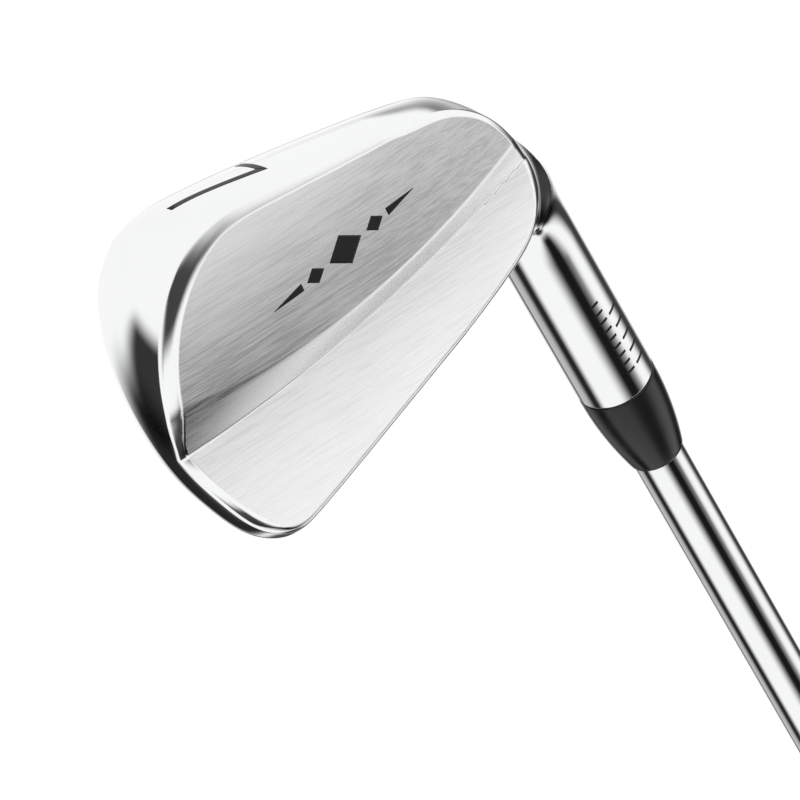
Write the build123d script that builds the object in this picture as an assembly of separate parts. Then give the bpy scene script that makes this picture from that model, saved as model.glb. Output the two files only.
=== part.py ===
"""Muscle-back 7 iron: forged head, ferrule, stepped steel shaft and rubber grip.

Frame, in millimetres: the club stands on the flat end of its grip, as it does upside down in a bag.
The origin is the centre of the grip's end face and +Z runs up the shaft axis to the head.
The face looks toward +Y, the engraved back toward -Y, and the toe points toward -X.
"""
from build123d import *
import os
from math import cos, radians, sin

# ---- club -------------------------------------------------------------------------------------
CLUB_LENGTH = 939.8          # grip end to the ground point of the heel, 37 inches
LIE = radians(62.0)
LOFT = radians(35.0)

# ---- hosel, ferrule and shaft -----------------------------------------------------------------
HOSEL_RADIUS = 6.85
HOSEL_LENGTH = 68.0          # ground point of the heel to the hosel's end, along the axis
HOSEL_STRAIGHT = 32.0        # straight cylindrical part of the hosel
BORE_RADIUS = 4.7
BORE_DEPTH = 34.0
BORE_CONE = 2.2
MOUTH_CHAMFER = 0.4
FERRULE_LENGTH = 18.0
FERRULE_TIP_RADIUS = 4.95
FERRULE_BULGE = 0.55         # how far the ferrule's taper bows out from a straight cone
SEAT_DEPTH = 32.0            # length of shaft glued inside the hosel
TIP_RADIUS = 4.5
TIP_WALL = 0.9
TIP_BORE_LENGTH = 60.0
SHAFT_WALL = 0.5
BUTT_RADIUS = 7.62
STEP_COUNT = 12
STEP_PITCH = 38.0
TOP_STEP = 700.0             # height of the shaft step nearest the head
STEP_RAMP = 1.2
WEIGHT_LENGTH = 20.0
WEIGHT_FLANGE = 1.0
BAND_LENGTH = 28.0
BAND_THICKNESS = 0.08
BAND_CLEARANCE = 5.0

# ---- grip -------------------------------------------------------------------------------------
GRIP_LENGTH = 267.0
CAP_THICKNESS = 3.0
CAP_RADIUS = 14.0
CAP_EDGE = 1.2
CAP_SKIRT = 7.0              # height of the cap's ring round the sleeve's end
CAP_SKIRT_WALL = 1.2
VENT_RADIUS = 1.5
SLEEVE_BUTT_RADIUS = 13.3
SLEEVE_MOUTH_RADIUS = 9.2
MOUTH_LIP_RADIUS = 9.7
MOUTH_LIP_LENGTH = 5.0
TAPE_THICKNESS = 0.25
TAPE_LENGTH = 255.0
MARK_DEPTH = 0.35
MARK_WIDTH = 1.2
MARK_LENGTH = 5.0
MARK_START = 205.0
MARK_PITCH = 6.0
MARK_COUNT = 5

# ---- blade, in the face frame: u to the toe, v up the face, w from the face to the back ---------
LEAD_FORWARD = 4.35          # leading edge ahead of the shaft axis, toward the target
LEAD_RISE = 1.45             # leading edge above the ground
LEAD_HEELWARD = 1.05         # origin of the face frame on the heel's side of the shaft axis
BACK_SPAN = 18.0             # how far behind the face the wall is drawn before the back is cut
REACH = 120.0                # longer than the blade, for solids that only cut it
BLADE_THICKNESS = 5.0
STEP_THICKNESS = 8.2         # thickness of the muscle along its upper edge
MUSCLE_SLOPE = 0.34
STEP_CLIMB = radians(14.5)   # climb of the muscle's upper edge toward the toe
STEP_FOOT = 12.8             # distance of that edge from the origin of the face frame
STEP_RUN = 4.0               # width of the bevel from the muscle down to the upper blade
RIM_CHAMFER = 1.5
CHAMFERED_LENGTH = 20.0      # only the long back edges of the toe and the sole are chamfered
SCORE_COUNT = 12
SCORE_PITCH = 3.2
SCORE_WIDTH = 0.8
SCORE_DEPTH = 0.35
SCORE_START = 4.5            # height of the lowest scoreline
SCORE_MARGIN = 3.5           # least distance below the topline
SCORE_HEEL = 12.0
SCORE_TOE = 63.0

# ---- engraved marks, filled with paint ----------------------------------------------------------
INLAY_DEPTH = 0.35
NUMBER_TOP = (45.0, 2.8, 10.0)
NUMBER_HEIGHT = 17.5
NUMBER_WIDTH = 6.0
NUMBER_LEAN = -1.7
NUMBER_STROKE = 1.3
NUMBER_REACH = 3.0
SOLE_OUT = (0.0, -0.92, 0.39)
SOLE_BACK = (0.0, 0.39, 0.92)
ORNAMENT_CENTRE = (37.5, 18.2)
ORNAMENT_CLIMB = radians(17.0)
LOZENGE_LENGTH = 8.0
LOZENGE_HEIGHT = 5.2
SIDE_LOZENGE_PLACE = 7.4
SIDE_LOZENGE_LENGTH = 4.2
SIDE_LOZENGE_HEIGHT = 2.7
BAR_START = 10.6
BAR_END = 17.5
BAR_HEIGHT = 1.3
TICK_HEIGHT = 0.5
TICK_START = 5.0
TICK_ROWS = [(-90.0, 9, 2.0, 1.8), (-65.0, 5, 3.0, 2.6)]   # azimuth, count, pitch and width

# ---- frames ---------------------------------------------------------------------------------------
HEEL = Vector(0, 0, CLUB_LENGTH)
GROUND_UP = Vector(-cos(LIE), 0, -sin(LIE))
TARGET = Vector(0, 1, 0)
TOE_WAY = Vector(-sin(LIE), 0, cos(LIE))
BACK_WAY = TARGET * -cos(LOFT) + GROUND_UP * -sin(LOFT)
FACE_ORIGIN = HEEL - TOE_WAY * LEAD_HEELWARD + TARGET * LEAD_FORWARD + GROUND_UP * LEAD_RISE
FACE = Plane(FACE_ORIGIN, x_dir=TOE_WAY, z_dir=BACK_WAY)
HOSEL_END = CLUB_LENGTH - HOSEL_LENGTH
SHAFT_TIP = HOSEL_END + SEAT_DEPTH

# Outline of the striking face from the topline's toe end round the toe, the sole and the heel, and
# the same outline at BACK_SPAN behind the face, where the sole has risen and the toe leans in.
TOPLINE_HEEL = (4.0, 30.9)
TOPLINE_TOE = (56.5, 53.9)
FRONT_CURVE = [(62.5, 54.9), (68.4, 52.4), (73.4, 46.6), (77.3, 39.6), (79.3, 31.5), (79.6, 24.0),
               (78.3, 15.4), (74.0, 7.4), (66.5, 1.7), (54.0, -0.9), (38.0, -1.6), (22.0, -1.8),
               (10.0, -1.4), (1.0, 1.2), (-4.6, 8.0), (-6.2, 16.0), (-3.6, 24.5)]
BACK_CURVE = [(62.5, 54.6), (68.2, 52.0), (73.0, 46.2), (76.6, 39.6), (78.4, 32.6), (78.4, 27.0),
              (76.2, 20.4), (71.6, 14.2), (64.6, 10.0), (53.0, 7.4), (38.0, 6.4), (23.0, 5.8),
              (11.0, 5.9), (3.4, 8.4), (-0.4, 13.4), (-1.6, 19.0), (-0.4, 25.0)]
# Sections of the neck: centre, heading, half height up the face and half thickness.
NECK_SECTIONS = [((-11.6, 20.8, -9.2), (0.47, -0.72, 0.51), 6.9, 6.85),
                 ((-6.0, 15.0, -2.7), (0.82, -0.42, 0.38), 9.0, 6.6),
                 ((3.0, 14.8, 2.2), (0.99, -0.10, 0.12), 13.0, 3.6),
                 ((14.0, 16.0, 2.6), (1.0, 0.0, 0.0), 15.0, 1.9)]


def at(u, v, w):
    """Point of the face frame in the club's frame."""
    return FACE.from_local_coords(Vector(u, v, w))


def direction(u, v, w):
    """Direction of the face frame in the club's frame."""
    return (FACE.x_dir * u + FACE.y_dir * v + FACE.z_dir * w).normalized()


def turned(*points):
    """Solid of revolution about the shaft axis from (radius, height) points."""
    return revolve(Plane.XZ * make_face(Polyline(*points, close=True)), Axis.Z)


def tube(outer, inner, bottom, top):
    """Plain ring about the shaft axis."""
    return turned((inner, bottom), (outer, bottom), (outer, top), (inner, top))


# ---- head -----------------------------------------------------------------------------------------
def blade_outline(curve, depth):
    """Face of the blade's outline at one depth behind the striking face."""
    round_part = Spline(TOPLINE_TOE, *curve, TOPLINE_HEEL)
    topline = Line(TOPLINE_HEEL, TOPLINE_TOE)
    return Plane(at(0, 0, depth), x_dir=FACE.x_dir, z_dir=FACE.z_dir) * make_face([round_part, topline])


def blade_wall():
    """The blade's outline carried back from the face, before its back is cut."""
    return loft([blade_outline(FRONT_CURVE, 0), blade_outline(BACK_CURVE, BACK_SPAN)], ruled=True)


def back_envelope():
    """Space under the back: the sloped muscle, the bevel at its upper edge and the thin upper blade."""
    along = direction(-cos(STEP_CLIMB), -sin(STEP_CLIMB), 0)
    plane = Plane(at(0, 0, 0), x_dir=FACE.z_dir, z_dir=along)
    deepest = STEP_THICKNESS + MUSCLE_SLOPE * (STEP_FOOT + REACH)
    section = Polyline((-1, -REACH), (deepest, -REACH), (STEP_THICKNESS, STEP_FOOT),
                       (BLADE_THICKNESS, STEP_FOOT + STEP_RUN), (BLADE_THICKNESS, REACH), (-1, REACH),
                       close=True)
    return extrude(plane * make_face(section), amount=REACH, both=True)


def oval(centre, heading, height, thickness):
    """Elliptical section of the neck, its long axis up the face."""
    normal = direction(*heading)
    up = FACE.y_dir - normal * FACE.y_dir.dot(normal)
    return Plane(at(*centre), x_dir=up, z_dir=normal) * Ellipse(height, thickness)


def neck():
    """Solid that turns the round hosel into the flat blade through elliptical sections."""
    up = Vector(FACE.y_dir.X, FACE.y_dir.Y, 0)
    root = Plane((0, 0, HOSEL_END + HOSEL_STRAIGHT), x_dir=up, z_dir=(0, 0, 1))
    sections = [root * Ellipse(HOSEL_RADIUS, HOSEL_RADIUS)]
    sections += [oval(*section) for section in NECK_SECTIONS]
    return loft(sections)


def chamfered_blade():
    """The blade with its back cut and a chamfer round the sole and the toe."""
    blade = blade_wall() & back_envelope()
    back_edges = [edge for edge in blade.edges().filter_by(GeomType.BSPLINE)
                  if FACE.to_local_coords(edge.center()).Z > 0.9 * BLADE_THICKNESS]
    return chamfer([edge for edge in back_edges if edge.length > CHAMFERED_LENGTH], RIM_CHAMFER)


def bore():
    """Blind hole for the shaft, with a drilled cone at its end and a chamfered mouth."""
    top = HOSEL_END + BORE_DEPTH
    return turned((0, HOSEL_END), (BORE_RADIUS + MOUTH_CHAMFER, HOSEL_END),
                  (BORE_RADIUS, HOSEL_END + MOUTH_CHAMFER), (BORE_RADIUS, top), (0, top + BORE_CONE))


def scorelines():
    """Grooves across the face, the upper ones shortened where the topline comes down."""
    slope = (TOPLINE_TOE[1] - TOPLINE_HEEL[1]) / (TOPLINE_TOE[0] - TOPLINE_HEEL[0])
    grooves = []
    for index in range(SCORE_COUNT):
        height = SCORE_START + index * SCORE_PITCH
        below_topline = TOPLINE_HEEL[0] + (height + SCORE_MARGIN - TOPLINE_HEEL[1]) / slope
        start = max(SCORE_HEEL, below_topline)
        plane = Plane(at((start + SCORE_TOE) / 2, height, 0), x_dir=FACE.x_dir, z_dir=FACE.z_dir)
        grooves.append(plane * Box(SCORE_TOE - start, SCORE_WIDTH, 2 * SCORE_DEPTH))
    return grooves


def plain_head():
    """Head forging before the bore, the grooves and the engraved marks are cut."""
    return chamfered_blade() + neck() + tube(HOSEL_RADIUS, 0, HOSEL_END, HOSEL_END + HOSEL_STRAIGHT)


# ---- engraved marks -------------------------------------------------------------------------------
def sole_number(head):
    """Paint in the slim numeral 7 on the sole: the skin of the head under the numeral's outline."""
    plane = Plane(at(*NUMBER_TOP), x_dir=direction(*SOLE_BACK), z_dir=direction(*SOLE_OUT))
    half = NUMBER_STROKE / 2
    outline = Polyline((-NUMBER_WIDTH, half), (half, half), (NUMBER_LEAN + half, -NUMBER_HEIGHT),
                       (NUMBER_LEAN - half, -NUMBER_HEIGHT), (-2 * half, -half), (-NUMBER_WIDTH, -half),
                       close=True)
    prism = extrude(plane * make_face(outline), amount=NUMBER_REACH, both=True)
    sunk_head = head.moved(Location(direction(*SOLE_OUT) * -INLAY_DEPTH))
    return (prism & head) - sunk_head


def muscle_depth(u, v):
    """Depth of the muscle's surface behind the face."""
    across = v * cos(STEP_CLIMB) - u * sin(STEP_CLIMB)
    return STEP_THICKNESS + MUSCLE_SLOPE * (STEP_FOOT - across)


def back_ornament():
    """Paint in the divider on the muscle: three lozenges between two tapering bars."""
    outward = direction(-MUSCLE_SLOPE * sin(STEP_CLIMB), MUSCLE_SLOPE * cos(STEP_CLIMB), 1)
    baseline = direction(-cos(ORNAMENT_CLIMB), -sin(ORNAMENT_CLIMB), 0)
    baseline = baseline - outward * baseline.dot(outward)
    u, v = ORNAMENT_CENTRE
    plane = Plane(at(u, v, muscle_depth(u, v)), x_dir=baseline, z_dir=outward)
    shapes = [lozenge(0, LOZENGE_LENGTH, LOZENGE_HEIGHT)]
    for side in (-1, 1):
        shapes.append(lozenge(side * SIDE_LOZENGE_PLACE, SIDE_LOZENGE_LENGTH, SIDE_LOZENGE_HEIGHT))
        shapes.append(Polyline((side * BAR_START, BAR_HEIGHT / 2), (side * BAR_START, -BAR_HEIGHT / 2),
                               (side * BAR_END, 0), close=True))
    return [extrude(plane * make_face(shape), amount=-INLAY_DEPTH) for shape in shapes]


def lozenge(centre, length, height):
    """Outline of a diamond on the ornament's centre line."""
    return Polyline((centre - length / 2, 0), (centre, height / 2), (centre + length / 2, 0),
                    (centre, -height / 2), close=True)


def hosel_ticks():
    """Paint in two rows of short ticks on the hosel."""
    skin = tube(HOSEL_RADIUS, HOSEL_RADIUS - INLAY_DEPTH, HOSEL_END, HOSEL_END + HOSEL_STRAIGHT)
    ticks = []
    for azimuth, count, pitch, width in TICK_ROWS:
        for index in range(count):
            height = HOSEL_END + TICK_START + index * pitch
            place = Rot(0, 0, azimuth) * Pos(HOSEL_RADIUS, 0, height)
            ticks.append(skin & place * Box(4 * INLAY_DEPTH, width, TICK_HEIGHT))
    return ticks


# ---- ferrule, shaft and what is bonded to it --------------------------------------------------------
def ferrule():
    """Plastic collar whose taper bows out from the hosel down to the shaft."""
    low = HOSEL_END - FERRULE_LENGTH
    middle = ((HOSEL_RADIUS + FERRULE_TIP_RADIUS) / 2 + FERRULE_BULGE, (low + HOSEL_END) / 2)
    taper = ThreePointArc((FERRULE_TIP_RADIUS, low), middle, (HOSEL_RADIUS, HOSEL_END))
    rest = Polyline((HOSEL_RADIUS, HOSEL_END), (TIP_RADIUS, HOSEL_END), (TIP_RADIUS, low),
                    (FERRULE_TIP_RADIUS, low))
    return revolve(Plane.XZ * make_face([taper, rest]), Axis.Z)


def step_height(index):
    """Height of one of the shaft's steps, counted from the grip."""
    return TOP_STEP - (STEP_COUNT - 1 - index) * STEP_PITCH


def shaft_profile(inset):
    """Points of the shaft's stepped surface from the butt to the tip, moved in by a wall thickness."""
    drop = (BUTT_RADIUS - TIP_RADIUS) / STEP_COUNT
    points = [(BUTT_RADIUS - inset, CAP_THICKNESS)]
    for index in range(STEP_COUNT):
        height = step_height(index)
        radius = BUTT_RADIUS - index * drop - inset
        points += [(radius, height - STEP_RAMP / 2), (radius - drop, height + STEP_RAMP / 2)]
    return points


def shaft():
    """Seamless steel tube, parallel under the grip and at the tip and stepped between them."""
    tip_bore = TIP_RADIUS - TIP_WALL
    tip_bore_start = SHAFT_TIP - TIP_BORE_LENGTH
    outer = shaft_profile(0) + [(TIP_RADIUS, SHAFT_TIP)]
    inner = shaft_profile(SHAFT_WALL) + [(TIP_RADIUS - SHAFT_WALL, tip_bore_start - STEP_RAMP),
                                         (tip_bore, tip_bore_start), (tip_bore, SHAFT_TIP)]
    return turned(*outer, *reversed(inner))


def tip_weight():
    """Swing-weight pin in the shaft's tip, with a flange over the tube's end."""
    low = SHAFT_TIP - WEIGHT_LENGTH
    radius = TIP_RADIUS - TIP_WALL
    return turned((0, low), (radius, low), (radius, SHAFT_TIP), (TIP_RADIUS, SHAFT_TIP),
                  (TIP_RADIUS, SHAFT_TIP + WEIGHT_FLANGE), (0, SHAFT_TIP + WEIGHT_FLANGE))


def hosel_epoxy():
    """Glue between the bore and the shaft, closed over the weight's flange."""
    top = HOSEL_END + BORE_DEPTH
    flange_top = SHAFT_TIP + WEIGHT_FLANGE
    return turned((TIP_RADIUS, HOSEL_END + MOUTH_CHAMFER), (BORE_RADIUS, HOSEL_END + MOUTH_CHAMFER),
                  (BORE_RADIUS, top), (0, top + BORE_CONE), (0, flange_top), (TIP_RADIUS, flange_top))


def shaft_band():
    """Plain foil band round the shaft above the grip."""
    radius = BUTT_RADIUS - (BUTT_RADIUS - TIP_RADIUS) / STEP_COUNT
    bottom = step_height(0) + BAND_CLEARANCE
    return tube(radius + BAND_THICKNESS, radius, bottom, bottom + BAND_LENGTH)


# ---- grip -------------------------------------------------------------------------------------------
def sleeve_radius(height):
    """Outside radius of the straight taper of the grip's sleeve."""
    return SLEEVE_BUTT_RADIUS + (SLEEVE_MOUTH_RADIUS - SLEEVE_BUTT_RADIUS) * height / GRIP_LENGTH


def grip_tape():
    """Tape wound on the shaft under the sleeve."""
    return tube(BUTT_RADIUS + TAPE_THICKNESS, BUTT_RADIUS, CAP_THICKNESS, CAP_THICKNESS + TAPE_LENGTH)


def plain_sleeve():
    """Tapered rubber sleeve, spigoted into the cap and lipped at its mouth."""
    taped = BUTT_RADIUS + TAPE_THICKNESS
    lip = GRIP_LENGTH - MOUTH_LIP_LENGTH
    spigot = SLEEVE_BUTT_RADIUS - CAP_SKIRT_WALL
    tape_end = CAP_THICKNESS + TAPE_LENGTH
    return turned((taped, CAP_THICKNESS), (spigot, CAP_THICKNESS), (spigot, CAP_SKIRT),
                  (sleeve_radius(CAP_SKIRT), CAP_SKIRT), (sleeve_radius(lip), lip),
                  (MOUTH_LIP_RADIUS, lip + 1), (MOUTH_LIP_RADIUS, GRIP_LENGTH - 1),
                  (MOUTH_LIP_RADIUS - 1, GRIP_LENGTH), (BUTT_RADIUS, GRIP_LENGTH),
                  (BUTT_RADIUS, tape_end), (taped, tape_end))


def grip_cap():
    """Moulded end cap with the vent hole, its skirt round the sleeve's end."""
    spigot = SLEEVE_BUTT_RADIUS - CAP_SKIRT_WALL
    return turned((VENT_RADIUS, 0), (CAP_RADIUS - CAP_EDGE, 0), (CAP_RADIUS, CAP_EDGE),
                  (CAP_RADIUS, CAP_SKIRT - CAP_EDGE), (sleeve_radius(CAP_SKIRT), CAP_SKIRT),
                  (spigot, CAP_SKIRT), (spigot, CAP_THICKNESS), (VENT_RADIUS, CAP_THICKNESS))


def alignment_marks(sleeve):
    """Paint in a row of short dashes on the side of the grip that faces up at address."""
    marks = []
    for index in range(MARK_COUNT):
        height = MARK_START + index * MARK_PITCH
        block = Pos(-sleeve_radius(height), 0, height) * Box(2 * MARK_DEPTH, MARK_LENGTH, MARK_WIDTH)
        marks.append(block & sleeve)
    return marks


def main():
    """Build every piece and write one STEP file for each node."""
    whole_head = plain_head()
    number = sole_number(whole_head)
    ornament = back_ornament()
    ticks = hosel_ticks()
    head = whole_head - bore() - scorelines() - number - ornament - ticks
    whole_sleeve = plain_sleeve()
    marks = alignment_marks(whole_sleeve)
    nodes = {
        "club_head": head,
        "sole_number_fill": number,
        "back_ornament_fill": Compound(children=ornament),
        "hosel_mark_fill": Compound(children=ticks),
        "ferrule": ferrule(),
        "hosel_epoxy": hosel_epoxy(),
        "tip_weight": tip_weight(),
        "shaft": shaft(),
        "shaft_band": shaft_band(),
        "grip_tape": grip_tape(),
        "grip_sleeve": whole_sleeve - marks,
        "grip_mark_fill": Compound(children=marks),
        "grip_cap": grip_cap(),
    }
    os.makedirs("parts", exist_ok=True)
    for name, shape in nodes.items():
        export_step(shape, f"parts/{name}.step")
        print(name, round(shape.volume, 1))


if __name__ == "__main__":
    main()
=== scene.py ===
"""Looks for the muscle-back 7 iron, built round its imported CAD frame.

The head, ferrule, shaft and grip are worked out as numpy surfaces in millimetres, in the club's own
frame: +Z runs up the shaft axis from the grip's end face at the origin to the head. The blade has a
frame of its own: u runs to the toe, v up the face and w from the face to the back.
"""
import logging
import math
from dataclasses import dataclass, field
from enum import Enum
from typing import Callable, Optional, Sequence

import bpy
import numpy as np
from mathutils import Matrix


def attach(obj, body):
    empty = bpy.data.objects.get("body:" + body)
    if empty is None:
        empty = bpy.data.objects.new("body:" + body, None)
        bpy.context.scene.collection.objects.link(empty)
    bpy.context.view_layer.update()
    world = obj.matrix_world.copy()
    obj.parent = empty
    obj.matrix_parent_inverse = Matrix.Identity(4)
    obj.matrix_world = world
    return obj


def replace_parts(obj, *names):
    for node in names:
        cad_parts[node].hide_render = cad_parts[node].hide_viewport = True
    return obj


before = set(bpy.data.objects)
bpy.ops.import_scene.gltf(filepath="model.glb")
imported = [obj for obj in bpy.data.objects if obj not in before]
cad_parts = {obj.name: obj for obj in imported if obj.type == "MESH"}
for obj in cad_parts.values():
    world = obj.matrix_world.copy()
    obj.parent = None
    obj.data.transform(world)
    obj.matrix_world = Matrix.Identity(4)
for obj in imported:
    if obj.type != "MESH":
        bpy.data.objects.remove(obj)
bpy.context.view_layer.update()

Array = np.ndarray
MILLIMETRE = 0.001
ROOT = "root"
log = logging.getLogger("golf_iron")


# ---- numpy fields and grids -------------------------------------------------------------------------
def smooth_max(a: Array, b: Array, radius: float) -> Array:
    """Larger of two fields, rounded off where they are closer than radius.

    Formula: the linear blend b + (a - b) h plus the hump radius h (1 - h), where h climbs from 0 to 1
    as a - b goes from -radius to +radius.

    Args:
        a: first field.
        b: second field.
        radius: half width of the rounding, in the fields' unit.

    Returns:
        The rounded maximum.
    """
    h = np.clip(0.5 + 0.5 * (a - b) / radius, 0.0, 1.0)
    return b + (a - b) * h + radius * h * (1.0 - h)


def smooth_min(a: Array, b: Array, radius: float) -> Array:
    """Smaller of two fields, rounded off where they are closer than radius."""
    return -smooth_max(-a, -b, radius)


def smooth_step(x: Array, low: float, high: float) -> Array:
    """Cubic ramp 3 t^2 - 2 t^3 from 0 at low to 1 at high."""
    t = np.clip((x - low) / (high - low), 0.0, 1.0)
    return t * t * (3.0 - 2.0 * t)


def unit(vectors: Array) -> Array:
    """Vectors scaled to length 1 along the last axis."""
    return vectors / np.maximum(np.linalg.norm(vectors, axis=-1, keepdims=True), 1e-12)


def grid_quads(rows: int, columns: int, closed: bool = True) -> Array:
    """Vertex numbers of the quads of a grid stored row by row.

    Args:
        rows: number of rows.
        columns: number of vertices in a row.
        closed: whether each row's last vertex joins its first.

    Returns:
        Array of four vertex numbers a quad.
    """
    row = np.arange(rows - 1)[:, None] * columns
    column = np.arange(columns if closed else columns - 1)[None, :]
    after = (column + 1) % columns
    quads = np.stack([row + column, row + after, row + columns + after, row + columns + column], axis=-1)
    return quads.reshape(-1, 4)


def slab_quads(rows: int, columns: int) -> tuple[Array, Array, Array]:
    """Quads of a closed slab whose upper layer's vertices come first and its lower layer's after them.

    Args:
        rows: number of rows in a layer.
        columns: number of columns in a layer.

    Returns:
        Quads of the upper layer, of the lower layer and round the edge.
    """
    count = rows * columns
    sheet = grid_quads(rows, columns, closed=False)
    index = np.arange(count).reshape(rows, columns)
    rim = np.concatenate([index[0, :-1], index[:-1, -1], index[-1, :0:-1], index[:0:-1, 0]])
    after = np.roll(rim, -1)
    side = np.stack([after, rim, rim + count, after + count], axis=-1)
    return sheet, sheet[:, ::-1] + count, side


def ring_quads(rows: int, columns: int) -> Array:
    """Quads of a grid whose rows and columns both close on themselves.

    Args:
        rows: number of rows.
        columns: number of columns.

    Returns:
        Array of four vertex numbers a quad.
    """
    count = rows * columns
    quads = grid_quads(rows + 1, columns)
    return np.where(quads >= count, quads - count, quads)


def fan(ring: Array, tip: int, flip: bool) -> Array:
    """Triangles from a closed ring of vertices to one tip vertex.

    Args:
        ring: vertex numbers round the ring.
        tip: number of the tip vertex.
        flip: whether to turn the triangles over.

    Returns:
        Array of three vertex numbers a triangle.
    """
    following = np.roll(ring, -1)
    tips = np.full_like(ring, tip)
    triples = [following, ring, tips] if flip else [ring, following, tips]
    return np.stack(triples, axis=-1)


def make_piece(name: str, points: Array, faces: Sequence[Array]) -> bpy.types.Object:
    """Mesh object from points in millimetres and arrays of faces, shaded smooth.

    Args:
        name: name of the piece.
        points: (n, 3) points in the club's frame.
        faces: arrays of quads or triangles.

    Returns:
        The new object, linked to the scene and sitting at the origin.
    """
    mesh = bpy.data.meshes.new(name)
    polygons = [polygon for block in faces for polygon in block.tolist()]
    mesh.from_pydata((points * MILLIMETRE).tolist(), [], polygons)
    mesh.polygons.foreach_set("use_smooth", np.ones(len(mesh.polygons), dtype=bool))
    mesh.update()
    piece = bpy.data.objects.new(name, mesh)
    bpy.context.scene.collection.objects.link(piece)
    return piece


class PolarOutline:
    """Closed outline through a few points, kept as radius against angle about a centre."""

    COUNT = 2880

    def __init__(self, points: Sequence[tuple[float, float]], centre: tuple[float, float]) -> None:
        """Fit a closed cubic spline through the points and tabulate its radius.

        Args:
            points: corners of the outline in order, in the face frame.
            centre: point that sees the whole outline.
        """
        corners = np.array(points, dtype=float)
        closed = np.vstack([corners, corners[:1]])
        chord = np.sqrt(np.linalg.norm(np.diff(closed, axis=0), axis=1))
        knots = np.concatenate([[0.0], np.cumsum(chord)])
        bend = self._second_derivatives(corners, closed, chord)
        s = np.linspace(0.0, knots[-1], 8 * self.COUNT, endpoint=False)
        span = np.clip(np.searchsorted(knots, s, side="right") - 1, 0, len(corners) - 1)
        width = chord[span][:, None]
        left = (knots[span + 1] - s)[:, None]
        right = (s - knots[span])[:, None]
        curve = (bend[span] * left ** 3 + bend[span + 1] * right ** 3) / (6.0 * width)
        curve += (closed[span] / width - bend[span] * width / 6.0) * left
        curve += (closed[span + 1] / width - bend[span + 1] * width / 6.0) * right
        away = curve - np.array(centre)
        angle = np.arctan2(away[:, 1], away[:, 0])
        order = np.argsort(angle)
        grid = np.linspace(-math.pi, math.pi, self.COUNT, endpoint=False)
        self.table = np.interp(grid, angle[order], np.hypot(*away.T)[order], period=2.0 * math.pi)
        for _ in range(3):
            self.table = self._smoothed(self.table)

    @staticmethod
    def _second_derivatives(corners: Array, closed: Array, chord: Array) -> Array:
        """Second derivatives of the periodic cubic spline, from its tridiagonal system.

        Args:
            corners: corners of the outline.
            closed: the same with the first repeated at the end.
            chord: spline parameter between neighbouring corners.

        Returns:
            One second derivative a corner, with the first repeated at the end.
        """
        count = len(corners)
        before = np.roll(chord, 1)
        system = np.zeros((count, count))
        index = np.arange(count)
        system[index, index] = 2.0 * (before + chord)
        system[index, index - 1] += before
        system[index, (index + 1) % count] += chord
        slope = np.diff(closed, axis=0) / chord[:, None]
        bend = np.linalg.solve(system, 6.0 * (slope - np.roll(slope, 1, axis=0)))
        return np.vstack([bend, bend[:1]])

    @staticmethod
    def _smoothed(table: Array) -> Array:
        """Table run once through the weights 1 4 6 4 1, so that its slope has no jumps."""
        total = 6.0 * table + 4.0 * (np.roll(table, 1) + np.roll(table, -1))
        return (total + np.roll(table, 2) + np.roll(table, -2)) / 16.0

    def radius(self, angle: Array) -> Array:
        """Radius at any angle, by a Catmull-Rom cubic through the four nearest entries.

        Args:
            angle: angles about the centre.

        Returns:
            Radii at the angles.
        """
        place = (angle + math.pi) / (2.0 * math.pi) * self.COUNT
        low = np.floor(place).astype(int)
        t = place - low
        a, b, c, d = (self.table[(low + shift) % self.COUNT] for shift in (-1, 0, 1, 2))
        return b + 0.5 * t * (c - a + t * (2 * a - 5 * b + 4 * c - d + t * (3 * (b - c) + d - a)))


# ---- the club's driving sizes --------------------------------------------------------------------------
@dataclass(frozen=True)
class ClubSizes:
    """Driving sizes of the club in millimetres and degrees, and its face frame."""

    length: float = 939.8
    lie: float = 62.0
    loft: float = 35.0
    hosel_length: float = 68.0
    hosel_radius: float = 6.85
    lead_forward: float = 4.35
    lead_rise: float = 1.45
    lead_heelward: float = 1.05

    @property
    def hosel_end(self) -> float:
        """Height of the joint between the hosel and the ferrule."""
        return self.length - self.hosel_length

    @property
    def face_axes(self) -> Array:
        """Rows u, v and w of the face frame, as directions of the club's frame.

        Returns:
            Rows u, v and w in the club's frame.
        """
        lie, loft = math.radians(self.lie), math.radians(self.loft)
        toe = np.array([-math.sin(lie), 0.0, math.cos(lie)])
        up = np.array([-math.cos(lie), 0.0, -math.sin(lie)])
        target = np.array([0.0, 1.0, 0.0])
        climb = up * math.cos(loft) - target * math.sin(loft)
        back = -target * math.cos(loft) - up * math.sin(loft)
        return np.stack([toe, climb, back])

    @property
    def face_origin(self) -> Array:
        """Leading edge of the face level with the heel, in the club's frame.

        Returns:
            Origin of the face frame in the club's frame.
        """
        lie = math.radians(self.lie)
        up = np.array([-math.cos(lie), 0.0, -math.sin(lie)])
        heelward = np.array([math.sin(lie), 0.0, -math.cos(lie)])
        lead = up * self.lead_rise + heelward * self.lead_heelward
        return np.array([0.0, self.lead_forward, self.length]) + lead

    def to_club(self, points: Array) -> Array:
        """Points of the face frame in the club's frame."""
        return self.face_origin + points @ self.face_axes

    def to_face(self, points: Array) -> Array:
        """Points of the club's frame in the face frame."""
        return (points - self.face_origin) @ self.face_axes.T


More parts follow.
